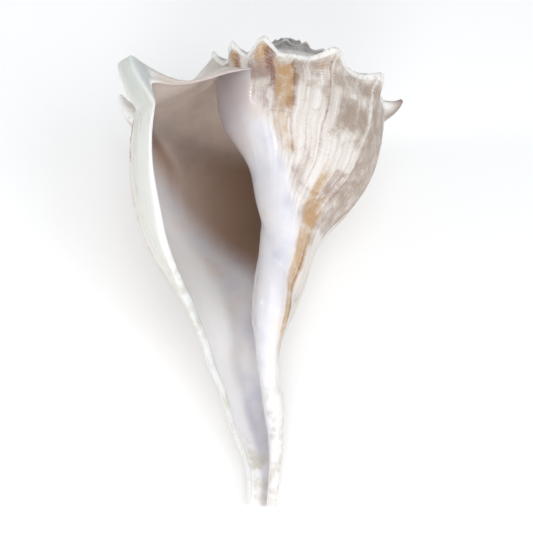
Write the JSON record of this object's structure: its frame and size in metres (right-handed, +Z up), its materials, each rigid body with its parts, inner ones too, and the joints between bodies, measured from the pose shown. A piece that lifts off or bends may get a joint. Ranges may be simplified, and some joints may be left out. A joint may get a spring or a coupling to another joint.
{
  "type": "lightning whelk shell",
  "caption": "Left-handed whelk shell with a spiny shoulder, a low spire, a wide oval aperture and a long tapering open canal, lying on its back.",
  "frame": {"origin": "on the ground under the middle of the shell's box", "axes": "+Z up, away from the ground and out of the aperture; +Y along the shell from the canal towards the spire; +X to the right of someone looking down on the aperture with the spire away from them"},
  "size_m": [0.1092, 0.1704, 0.0915],
  "materials": {
    "shell": "worn aragonite with a porcelain-smooth callus"
  },
  "bodies": {
    "root": {"shell": "shell"}
  },
  "joints": []
}
